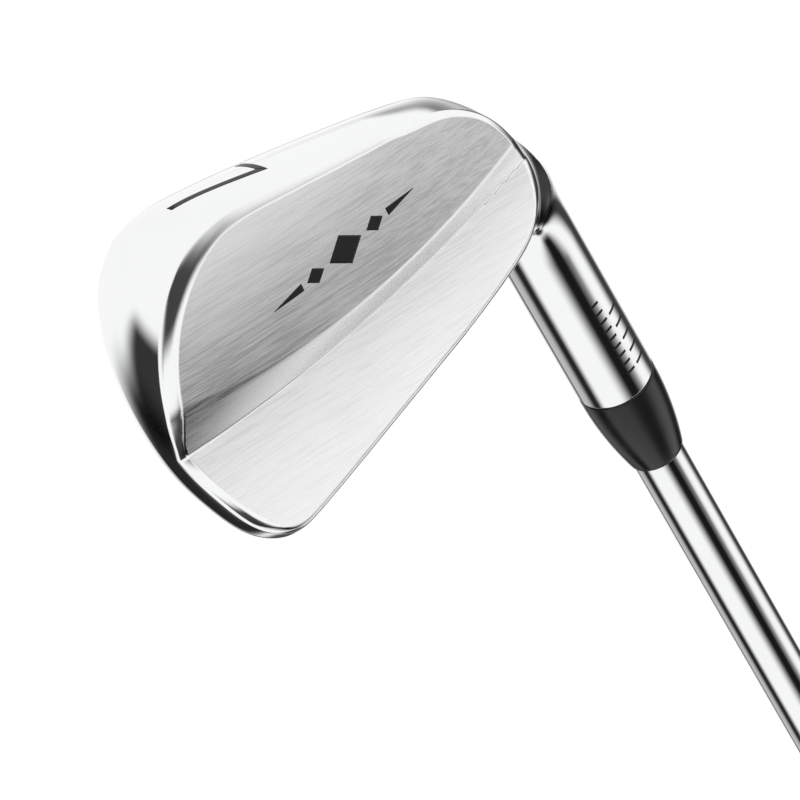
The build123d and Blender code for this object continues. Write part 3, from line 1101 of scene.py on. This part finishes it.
@dataclass
class ScoredPlate:
    """The milled area of the face with its scorelines, a closed plate set flush in the blade.

    Formula: rows lie along each line's cross-section, two straight flanks down to a flat floor; the
    depth fades to nothing at both ends of the lines.
    """

    sizes: ClubSizes
    form: HeadForm
    count: int = 12
    pitch: float = 3.2
    width: float = 0.8
    depth: float = 0.35
    margin: float = 2.2
    proud: float = 0.02
    thickness: float = 1.0
    columns: int = 160
    section: tuple[tuple[float, float], ...] = (
        (-0.8, 0.0), (-0.55, 0.0), (-0.5, 0.02), (-0.44, 0.2), (-0.28, 0.92), (-0.2, 1.0), (0.0, 1.0),
        (0.2, 1.0), (0.28, 0.92), (0.44, 0.2), (0.5, 0.02), (0.55, 0.0), (0.8, 0.0), (1.4, 0.0), (2.0, 0.0))

    def build(self, finish: bpy.types.Material) -> None:
        """Build the plate and dress it with the face's finish.

        Args:
            finish: material of the face.
        """
        form = self.form
        shape = np.array(self.section)
        lines = form.score_low + self.pitch * np.arange(self.count)
        v = (lines[:, None] + shape[None, :, 0] * self.width).ravel()
        cut = np.tile(shape[:, 1], self.count)
        v = np.concatenate([[form.score_low - self.margin], v, [form.score_high + self.margin]])
        cut = np.concatenate([[0.0], cut, [0.0]])
        start = form.score_start(v)
        share = (0.5 - 0.5 * np.cos(math.pi * np.linspace(0.0, 1.0, self.columns)))[None, :]
        low, high = (start - self.margin)[:, None], form.score_toe + self.margin
        u = low + (high - low) * share
        ends = smooth_step(u, start[:, None], start[:, None] + 0.5)
        ends = ends * (1.0 - smooth_step(u, form.score_toe - 0.5, form.score_toe))
        top = np.stack([u, v[:, None] + 0.0 * u, cut[:, None] * ends * self.depth - self.proud], axis=-1)
        under = top.copy()
        under[..., 2] = self.thickness
        points = np.concatenate([top.reshape(-1, 3), under.reshape(-1, 3)])
        faces = turn_outward(points, slab_quads(*u.shape))
        piece = make_piece("face_scored_plate", self.sizes.to_club(points), faces)
        piece.data.polygons.foreach_set("use_smooth", np.zeros(len(piece.data.polygons), dtype=bool))
        piece.data.materials.append(finish)
        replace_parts(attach(piece, ROOT), "club_head")
        log.info("face_scored_plate: %d faces", len(piece.data.polygons))


@dataclass
class PaintedMarks:
    """Paint in the engraved marks: the sole's numeral, the back's divider and the hosel's ticks.

    Each mark is a set of four-cornered patches, drawn in a plane near the head and carried straight
    onto its surface.
    """

    sizes: ClubSizes
    form: HeadForm
    proud: float = 0.03
    thickness: float = 0.35
    steps: int = 14
    number_top: tuple[float, float, float] = (45.0, 2.8, 10.0)
    number_height: float = 17.5
    number_width: float = 6.0
    number_lean: float = -1.7
    number_stroke: float = 1.3
    sole_out: tuple[float, float, float] = (0.0, -0.92, 0.39)
    divider_centre: tuple[float, float] = (37.5, 18.2)
    divider_climb: float = 17.0
    muscle_climb: float = 14.5
    lozenges: tuple[tuple[float, float, float], ...] = ((0.0, 8.0, 5.2), (-7.4, 4.2, 2.7), (7.4, 4.2, 2.7))
    bar_start: float = 10.6
    bar_end: float = 17.5
    bar_half: float = 0.65
    bar_tip: float = 0.04
    tick_rows: tuple[tuple[float, int, float, float], ...] = ((-90.0, 9, 2.0, 1.8), (-65.0, 5, 3.0, 2.6))
    tick_start: float = 5.0
    tick_height: float = 0.5

    def build(self) -> None:
        """Build the three sets of marks."""
        paint = Enamel("engraving black paint", (0.012, 0.012, 0.013)).build()
        sets = (("sole_number", self.number(), "sole_number_fill"),
                ("back_divider", self.divider(), "back_ornament_fill"),
                ("hosel_ticks", self.ticks(), "hosel_mark_fill"))
        for name, patches, node in sets:
            points, faces = self.joined(patches)
            piece = make_piece(name, points, [faces])
            piece.data.materials.append(paint)
            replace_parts(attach(piece, ROOT), node)
            log.info("%s: %d patches", name, len(patches))

    def number(self) -> list[Array]:
        """Patches of the slim 7: a short bar to the leading edge and a long leg to the toe.

        Returns:
            One patch a stroke.
        """
        out = unit(np.array(self.sole_out))
        across = np.cross(out, np.array([1.0, 0.0, 0.0]))
        half = self.number_stroke / 2.0
        foot = self.number_lean
        bar = [(-self.number_width, -half), (-half, -half), (half, half), (-self.number_width, half)]
        leg = [(-half, -half), (foot - half, -self.number_height), (foot + half, -self.number_height),
               (half, half)]
        axes = np.stack([across, np.array([-1.0, 0.0, 0.0])])
        return [self.patch(np.array(shape) @ axes + np.array(self.number_top), out) for shape in (bar, leg)]

    def divider(self) -> list[Array]:
        """Patches of the divider: three lozenges between two tapering bars, on a line up to the toe.

        Returns:
            One patch a shape.
        """
        climb = math.radians(self.muscle_climb)
        fall = self.form.slope
        out = unit(np.array([-fall * math.sin(climb), fall * math.cos(climb), 1.0]))
        turn = math.radians(self.divider_climb)
        along = unit(np.cross(np.cross(out, np.array([-math.cos(turn), -math.sin(turn), 0.0])), out))
        axes = np.stack([along, np.cross(out, along)])
        shapes = [self.lozenge(*sizes) for sizes in self.lozenges]
        bar = np.array([(self.bar_start, -self.bar_half), (self.bar_end, -self.bar_tip),
                        (self.bar_end, self.bar_tip), (self.bar_start, self.bar_half)])
        shapes += [bar * np.array([side, 1.0]) for side in (-1.0, 1.0)]
        u, v = self.divider_centre
        centre = np.array([u, v, float(self.form.back_depth(np.array(u), np.array(v)))])
        return [self.patch(shape @ axes + centre, out) for shape in shapes]

    @staticmethod
    def lozenge(centre: float, length: float, height: float) -> Array:
        """Corners of a diamond on the divider's line."""
        half, rise = length / 2.0, height / 2.0
        return np.array([(centre - half, 0.0), (centre, -rise), (centre + half, 0.0), (centre, rise)])

    def ticks(self) -> list[Array]:
        """Patches of the ticks: short bars across the hosel in two rows round it.

        Returns:
            One patch a tick.
        """
        patches = []
        for azimuth, count, pitch, width in self.tick_rows:
            turn = math.radians(azimuth)
            out = np.array([math.cos(turn), math.sin(turn), 0.0])
            side = np.array([-math.sin(turn), math.cos(turn), 0.0]) * width / 2.0
            rise = np.array([0.0, 0.0, self.tick_height / 2.0])
            for height in self.sizes.hosel_end + self.tick_start + pitch * np.arange(count):
                middle = out * self.sizes.hosel_radius + np.array([0.0, 0.0, height])
                corners = np.array([middle - side - rise, middle + side - rise, middle + side + rise,
                                    middle - side + rise])
                patches.append(self.patch(self.sizes.to_face(corners), out @ self.sizes.face_axes.T))
        return patches

    def patch(self, corners: Array, out: Array) -> Array:
        """Outer and inner layer of one patch, laid on the head.

        Formula: points spread between the four corners in both directions, carried along the outward
        direction onto the surface, then moved along its normal.

        Args:
            corners: four corners in the face frame.
            out: outward direction.

        Returns:
            Array of two layers of steps by steps points in the face frame.
        """
        s = np.linspace(0.0, 1.0, self.steps)[:, None, None]
        t = np.linspace(0.0, 1.0, self.steps)[None, :, None]
        flat = (corners[0] * (1 - s) + corners[1] * s) * (1 - t) + (corners[3] * (1 - s) + corners[2] * s) * t
        laid = self.form.march(flat - 3.0 * out, out, np.full(flat.shape[:2], 6.0))
        normals = self.form.normals(laid)
        return np.stack([laid + normals * self.proud, laid - normals * self.thickness])

    def joined(self, patches: list[Array]) -> tuple[Array, Array]:
        """Points in the club's frame and quads of all the patches, each a closed slab.

        Args:
            patches: the two layers of each patch.

        Returns:
            Points and quads.
        """
        count = self.steps ** 2
        slab = np.concatenate(slab_quads(self.steps, self.steps))
        points, faces = [], []
        for number, patch in enumerate(patches):
            block = patch.reshape(-1, 3)
            faces.append(turn_outward(block, [slab])[0] + number * 2 * count)
            points.append(block)
        return self.sizes.to_club(np.concatenate(points)), np.concatenate(faces)


def rounded(corners: Sequence[tuple[float, float]], radius: float, steps: int = 5) -> Array:
    """Closed profile with each corner rounded off.

    Formula: each corner becomes a quadratic curve from radius before it to radius after it, or to half
    way along a shorter side.

    Args:
        corners: corners of the profile as radius and height.
        radius: length taken off each side of a corner.
        steps: points on each curve.

    Returns:
        The points of the rounded profile.
    """
    middle = np.array(corners, dtype=float)
    before, after = np.roll(middle, 1, axis=0) - middle, np.roll(middle, -1, axis=0) - middle
    cuts = [np.minimum(radius / np.linalg.norm(side, axis=1), 0.45)[:, None] for side in (before, after)]
    first, last = (middle + before * cuts[0])[:, None, :], (middle + after * cuts[1])[:, None, :]
    t = np.linspace(0.0, 1.0, steps)[None, :, None]
    curve = first * (1 - t) ** 2 + middle[:, None, :] * 2 * t * (1 - t) + last * t ** 2
    return curve.reshape(-1, 2)


def revolve(profile: Array, columns: int) -> tuple[Array, list[Array]]:
    """Closed ring surface from a closed profile turned about the Z axis.

    Args:
        profile: points as radius and height, in order round the section.
        columns: number of steps round the axis.

    Returns:
        Points and faces, turned outwards.
    """
    turn = np.linspace(0.0, 2.0 * math.pi, columns, endpoint=False)
    radius, height = profile[:, 0][:, None], profile[:, 1][:, None] + 0.0 * turn[None]
    points = np.stack([radius * np.cos(turn), radius * np.sin(turn), height], axis=-1).reshape(-1, 3)
    return points, turn_outward(points, [ring_quads(len(profile), columns)])


@dataclass
class Ferrule:
    """Plastic collar whose taper bows out from the hosel down to the shaft."""

    sizes: ClubSizes
    length: float = 18.0
    tip_radius: float = 4.95
    bore_radius: float = 4.52
    bulge: float = 0.55
    corner: float = 0.12
    overlap: float = 0.015

    def build(self) -> None:
        """Build the collar and dress it."""
        low, high = self.sizes.hosel_end - self.length, self.sizes.hosel_end - 0.02
        t = np.linspace(0.0, 1.0, 40)
        radius = self.tip_radius + (self.sizes.hosel_radius - self.tip_radius) * t
        radius = radius + self.bulge * 4.0 * t * (1.0 - t)
        skin = np.stack([radius, low + (high - low) * t], axis=-1)
        brim = high + self.overlap
        edge = np.array([[self.sizes.hosel_radius - self.corner, brim], [self.bore_radius, brim],
                         [self.bore_radius, low], [self.tip_radius - self.corner, low - 0.01]])
        points, faces = revolve(np.concatenate([skin, edge]), 160)
        piece = make_piece("ferrule_collar", points, faces)
        piece.data.materials.append(Plastic("ferrule gloss plastic", (0.012, 0.012, 0.013)).build())
        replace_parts(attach(piece, ROOT), "ferrule")
        log.info("ferrule: %d faces", len(piece.data.polygons))


@dataclass
class Shaft:
    """Stepped steel tube with the printed band on it."""

    sizes: ClubSizes
    butt_radius: float = 7.62
    tip_radius: float = 4.5
    steps: int = 12
    pitch: float = 38.0
    top_step: float = 700.0
    ramp: float = 1.2
    start: float = 3.0
    seat: float = 32.0
    wall: float = 0.5

    def build(self) -> None:
        """Build the tube and dress it."""
        drop = (self.butt_radius - self.tip_radius) / self.steps
        outer = [(self.butt_radius, self.start)]
        for index in range(self.steps):
            height = self.top_step - (self.steps - 1 - index) * self.pitch
            radius = self.butt_radius - index * drop
            outer += [(radius, height - self.ramp / 2), (radius - drop, height + self.ramp / 2)]
        outer.append((self.tip_radius, self.sizes.hosel_end + self.seat))
        inner = [(radius - self.wall, height) for radius, height in reversed(outer)]
        points, faces = revolve(rounded(outer + inner, 0.5), 128)
        piece = make_piece("shaft_tube", points, faces)
        finish = PolishedSteel("shaft polished chrome", roughness=0.04, along=(1.0, 1.0, 0.03))
        piece.data.materials.append(finish.build())
        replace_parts(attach(piece, ROOT), "shaft")
        log.info("shaft: %d faces", len(piece.data.polygons))


@dataclass
class Grip:
    """Tapered rubber sleeve with a moulded pattern, and its end cap."""

    length: float = 267.0
    butt_radius: float = 13.3
    mouth_radius: float = 9.2
    lip_radius: float = 9.7
    lip_length: float = 5.0
    bore_radius: float = 7.9
    cap_radius: float = 14.0
    cap_edge: float = 1.2
    cap_skirt: float = 7.0
    skirt_wall: float = 1.2
    cap_thickness: float = 3.0
    vent_radius: float = 1.5
    rows: int = 430
    columns: int = 192
    starts: int = 16
    lead: float = 150.0
    groove: float = 0.32
    sunk: float = 0.06
    dash_low: float = 199.0
    dash_high: float = 235.0
    dash_soft: float = 5.0
    cap_rings: tuple[tuple[float, float], ...] = ((4.0, 5.6), (9.4, 11.2))
    ring_depth: float = 0.3

    def build(self) -> None:
        """Build the sleeve and the cap and dress them."""
        rubber = Rubber("grip moulded rubber").build()
        sleeve = make_piece("grip_sleeve_moulded", *self.sleeve())
        cap = make_piece("grip_end_cap", *self.cap())
        cap_rubber = Rubber("cap moulded rubber", (0.024, 0.024, 0.025), 0.5).build()
        for piece, material, node, slot in ((sleeve, rubber, "grip_sleeve", "grip_rubber"),
                                            (cap, cap_rubber, "grip_cap", "cap_rubber")):
            piece.data.materials.append(material)
            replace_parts(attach(piece, ROOT), node)
            log.info("%s: %d faces", piece.name, len(piece.data.polygons))

    def taper(self, height: Array) -> Array:
        """Radius of the plain sleeve: a straight taper with a rounded lip at its mouth.

        Args:
            height: height above the grip's end.

        Returns:
            Radius at each height.
        """
        plain = self.butt_radius + (self.mouth_radius - self.butt_radius) * height / self.length
        rise = smooth_step(height, self.length - self.lip_length, self.length - self.lip_length + 1.5)
        end = np.clip((height - self.length + 1.0) / 1.0, 0.0, 1.0)
        return plain + (self.lip_radius - plain) * rise - (1.0 - np.sqrt(1.0 - end ** 2 * 0.99))

    def sleeve(self) -> tuple[Array, list[Array]]:
        """Points and faces of the sleeve.

        Formula: two families of helical grooves cross into lozenges. Each groove's depth is a power of
        the cosine of the helix phase, starts times the turn plus or minus the height over the lead. They
        fade at both ends and round the row of dashes, where the skin is sunk a little so the dashes show.

        Returns:
            Points and faces.
        """
        low, high = self.cap_skirt, self.length
        height = np.linspace(low, high, self.rows)[:, None]
        turn = np.linspace(-math.pi, math.pi, self.columns, endpoint=False)[None, :]
        helix = 2.0 * math.pi * height / self.lead * self.starts / 2.0
        first = (0.5 + 0.5 * np.cos(self.starts * turn + helix)) ** 8
        second = (0.5 + 0.5 * np.cos(self.starts * turn - helix)) ** 8
        ends = smooth_step(height, low + 6.0, low + 14.0)
        ends = ends * (1.0 - smooth_step(height, high - 24.0, high - 16.0))
        away = math.pi - np.abs(turn)
        near = (1.0 - smooth_step(away, 0.42, 0.6))
        near = near * smooth_step(height, self.dash_low - self.dash_soft, self.dash_low)
        near = near * (1.0 - smooth_step(height, self.dash_high, self.dash_high + self.dash_soft))
        depth = self.groove * np.maximum(first, second) * ends * (1.0 - near) + self.sunk * near
        radius = self.taper(height) - depth
        skin = np.stack([radius * np.cos(turn), radius * np.sin(turn), height + 0.0 * turn], axis=-1)
        foot = self.ring(self.butt_radius - self.skirt_wall, low, turn)
        foot = np.concatenate([foot, self.ring(self.butt_radius - self.skirt_wall, self.cap_thickness, turn)])
        bore = [self.ring(self.bore_radius, z, turn) for z in (self.length, self.cap_thickness)]
        rings = np.concatenate([foot[1:], foot[:1], skin, *bore])
        points = rings.reshape(-1, 3)
        return points, turn_outward(points, [ring_quads(len(rings), self.columns)])

    @staticmethod
    def ring(radius: float, height: float, turn: Array) -> Array:
        """One ring of points at a radius and height."""
        return np.stack([radius * np.cos(turn), radius * np.sin(turn), height + 0.0 * turn], axis=-1)

    def cap(self) -> tuple[Array, list[Array]]:
        """Points and faces of the cap: a rounded disc with a vent, two shallow rings and a skirt.

        Returns:
            Points and faces.
        """
        spigot = self.butt_radius - self.skirt_wall
        corners = [(self.vent_radius, 0.0)]
        for first, last in self.cap_rings:
            deep = self.ring_depth
            corners += [(first, 0.0), (first + deep, deep), (last - deep, deep), (last, 0.0)]
        corners += [(self.cap_radius - self.cap_edge, 0.0),
                    (self.cap_radius, self.cap_edge), (self.cap_radius, self.cap_skirt - self.cap_edge),
                    (float(self.taper(np.array(self.cap_skirt))), self.cap_skirt), (spigot, self.cap_skirt),
                    (spigot, self.cap_thickness), (self.vent_radius, self.cap_thickness)]
        return revolve(rounded(corners, 0.25), 144)


class HiddenParts:
    """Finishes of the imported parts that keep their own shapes: band, dashes, and what is glued inside."""

    def build(self) -> None:
        """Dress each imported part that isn't replaced."""
        finishes = {
            "shaft_band": self.foil(),
            "grip_mark_fill": Enamel("grip white paint", (0.82, 0.82, 0.8), 0.45).build(),
            "hosel_epoxy": Enamel("cured epoxy", (0.5, 0.42, 0.26), 0.25).build(),
            "tip_weight": PolishedSteel("weight brass", (0.8, 0.6, 0.28), 0.22, 0.12).build(),
            "grip_tape": self.tape()}
        for name, material in finishes.items():
            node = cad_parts[name]
            node.data.materials.clear()
            node.data.materials.append(material)
            log.info("%s dressed", name)

    @staticmethod
    def foil() -> bpy.types.Material:
        """Printed foil: fine stripes round the shaft between two darker edges, slightly rubbed.

        Returns:
            The finish.
        """
        tree = FinishTree("band printed foil")
        source = tree.add("ShaderNodeTexCoord").outputs["Object"]
        height = tree.add("ShaderNodeSeparateXYZ", {0: source}).outputs["Z"]
        pitch = 2.0 * MILLIMETRE
        wave = tree.sum(tree.sum(height, 2.0 * math.pi / pitch, "MULTIPLY"), 0.0, "SINE")
        rub = tree.noise(tree.place(scale=(1.0, 1.0, 0.4)), 900.0, 4.0)
        printed = tree.span(wave, (0.4, 0.6), (0.0, 1.0))
        stripe = tree.sum(printed, tree.span(rub, (0.6, 0.75), (0.0, 0.6)), "SUBTRACT")
        colour = tree.tint(stripe, [(0.2, (0.62, 0.63, 0.65)), (0.6, (0.05, 0.07, 0.12))])
        rough = tree.span(rub, (0.3, 0.7), (0.2, 0.4))
        return tree.dress(Base_Color=colour, Metallic=0.8, Roughness=rough)

    @staticmethod
    def tape() -> bpy.types.Material:
        """Crepe paper tape: fine creases across the shaft and fibres in the paper; the colour is darker in
        the creases' hollows as painted shade, and the fibres give a random paper tone.

        Returns:
            The finish.
        """
        tree = FinishTree("grip tape paper")
        crease = tree.noise(tree.place(scale=(1.0, 1.0, 6.0)), 500.0, 3.0)
        fibre = tree.noise(tree.place(), 2500.0, 4.0)
        # painted shade: the colour follows the crease bump and is darker in its hollows; the fibre noise adds
        # a random paper tone
        shade = tree.sum(crease, fibre, "MULTIPLY")
        colour = tree.tint(shade, [(0.1, (0.52, 0.43, 0.27)), (0.45, (0.72, 0.62, 0.42))])
        tree.bump(crease, 8.0e-5)
        rough = tree.span(fibre, (0.3, 0.7), (0.75, 0.95))
        return tree.dress(Base_Color=colour, Roughness=rough)


@dataclass(frozen=True)
class Flag:
    """A dark panel in the tent of light, centred on a direction, with soft edges. Angles in degrees."""

    azimuth: float
    elevation: float
    half_width: float
    soft_width: float
    half_height: float
    soft_height: float
    depth: float


@dataclass
class Studio:
    """Pale floor, a soft tent of light with dark flags in it, and the camera."""

    sizes: ClubSizes
    right: tuple[float, float, float] = (-0.7532, 0.4151, 0.5103)
    up: tuple[float, float, float] = (-0.3104, -0.9082, 0.2806)
    back: tuple[float, float, float] = (0.5799, 0.0529, 0.8130)
    eye: tuple[float, float, float] = (663.8, 100.0, 885.8)
    lens: float = 313.5
    flags: tuple[Flag, ...] = (
        Flag(155, -30, 5, 22, 30, 30, 0.98), Flag(168, 22, 12, 16, 22, 16, 0.97),
        Flag(-86, -40, 8, 40, 18, 22, 0.99), Flag(15, -46, 8, 34, 14, 14, 0.95),
        Flag(98, -48, 3, 14, 8, 8, 0.85), Flag(128, -48, 10, 16, 10, 12, 0.5),
        Flag(-75, 52, 12, 45, 18, 10, 0.95), Flag(-66, -24, 6, 26, 3, 13, 0.9),
        Flag(-38, -24, 3, 12, 4, 10, 0.45), Flag(-62, -32, 3, 8, 3, 9, 0.85),
        Flag(-40, 25, 8, 20, 6, 12, 0.4), Flag(0, -90, 180, 1, 7, 13, 0.98),
        Flag(60, -62, 40, 30, 8, 10, 0.92), Flag(38, -22, 8, 14, 8, 9, 0.9),
        Flag(-112, -8, 12, 12, 10, 10, 0.95), Flag(65, -40, 6, 10, 6, 8, 0.6))
    wash: float = 1.12

    def build(self) -> None:
        """Build the floor, the lights and the camera."""
        self.floor()
        self.camera()
        self.tent()
        bpy.context.scene.view_settings.view_transform = "Standard"

    def tent(self) -> None:
        """White surroundings, dimmed for reflections where the flags stand.

        Formula: the brightness of a direction is the product, over the flags, of 1 - depth a b, where a
        and b fall smoothly from 1 inside the flag to 0 past its soft edge in azimuth and in elevation.
        """
        world = bpy.data.worlds.new("studio")
        world.use_nodes = True
        tree = world.node_tree
        background = tree.nodes["Background"]

        def compute(operation: str, *values: object) -> bpy.types.NodeSocket:
            """One arithmetic node.

            Args:
                operation: kind of arithmetic.
                values: plain values or outputs.

            Returns:
                The node's output.
            """
            node = tree.nodes.new("ShaderNodeMath")
            node.operation = operation
            for socket, value in zip(node.inputs, values):
                if isinstance(value, bpy.types.NodeSocket):
                    tree.links.new(value, socket)
                else:
                    socket.default_value = value
            return node.outputs[0]

        def edge(distance: bpy.types.NodeSocket, core: float, soft: float) -> bpy.types.NodeSocket:
            """1 within the core and 0 past the soft edge; angles in degrees.

            Args:
                distance: distance from the flag's centre in radians.
                core: half width of the flag.
                soft: width of its soft edge.

            Returns:
                The share of the flag.
            """
            node = tree.nodes.new("ShaderNodeMapRange")
            node.interpolation_type = "SMOOTHSTEP"
            tree.links.new(distance, node.inputs[0])
            for place, value in zip(range(1, 5), (math.radians(core), math.radians(core + soft), 1.0, 0.0)):
                node.inputs[place].default_value = value
            return node.outputs[0]

        split = tree.nodes.new("ShaderNodeSeparateXYZ")
        tree.links.new(tree.nodes.new("ShaderNodeTexCoord").outputs["Generated"], split.inputs[0])
        azimuth = compute("ARCTAN2", split.outputs["Y"], split.outputs["X"])
        elevation = compute("ARCSINE", split.outputs["Z"])
        light: object = 1.0
        for flag in self.flags:
            turn = compute("SUBTRACT", azimuth, math.radians(flag.azimuth))
            turn = compute("WRAP", turn, math.pi, -math.pi)
            climb = compute("SUBTRACT", elevation, math.radians(flag.elevation))
            wide = edge(compute("ABSOLUTE", turn), flag.half_width, flag.soft_width)
            high = edge(compute("ABSOLUTE", climb), flag.half_height, flag.soft_height)
            shade = compute("MULTIPLY", compute("MULTIPLY", wide, high), flag.depth)
            light = compute("MULTIPLY", compute("SUBTRACT", 1.0, shade), light)
        sharp = tree.nodes.new("ShaderNodeLightPath").outputs["Is Glossy Ray"]
        keep = compute("MULTIPLY", compute("SUBTRACT", 1.0, sharp), self.wash)
        tree.links.new(compute("ADD", compute("MULTIPLY", light, sharp), keep), background.inputs["Strength"])
        background.inputs["Color"].default_value = (1.0, 1.0, 1.0, 1.0)
        bpy.context.scene.world = world

    def floor(self) -> None:
        """Pale floor under the grip's end."""
        corners = np.array([[-1, -1, 0], [1, -1, 0], [1, 1, 0], [-1, 1, 0]], dtype=float) * 6000.0
        piece = make_piece("floor", corners, [np.array([[0, 1, 2, 3]])])
        tree = FinishTree("floor paint")
        cloud = tree.noise(tree.place(), 2.0, 4.0)
        colour = tree.tint(cloud, [(0.3, (0.9, 0.9, 0.9)), (0.7, (0.93, 0.93, 0.93))])
        piece.data.materials.append(tree.dress(Base_Color=colour, Roughness=0.8))
        piece.visible_glossy = False

    def camera(self) -> None:
        """Camera at its place, given with its right, up and back directions in the face frame."""
        turned = unit(np.array([self.right, self.up, self.back])) @ self.sizes.face_axes
        right, up, back = turned
        eye = self.sizes.to_club(np.array(self.eye)) * MILLIMETRE
        data = bpy.data.cameras.new("camera")
        data.lens = self.lens
        data.sensor_width = 36.0
        data.clip_start, data.clip_end = 0.05, 50.0
        camera = bpy.data.objects.new("camera", data)
        camera.matrix_world = Matrix([[right[i], up[i], back[i], eye[i]] for i in range(3)] + [[0, 0, 0, 1]])
        bpy.context.scene.collection.objects.link(camera)
        bpy.context.scene.camera = camera


def main() -> None:
    """Build the club, its finishes and the studio."""
    logging.basicConfig(level=logging.INFO)
    sizes = ClubSizes()
    form = HeadForm(sizes)
    Head(sizes, form).build()
    PaintedMarks(sizes, form).build()
    Ferrule(sizes).build()
    Shaft(sizes).build()
    Grip().build()
    HiddenParts().build()
    Studio(sizes).build()


if __name__ == "__main__":
    main()
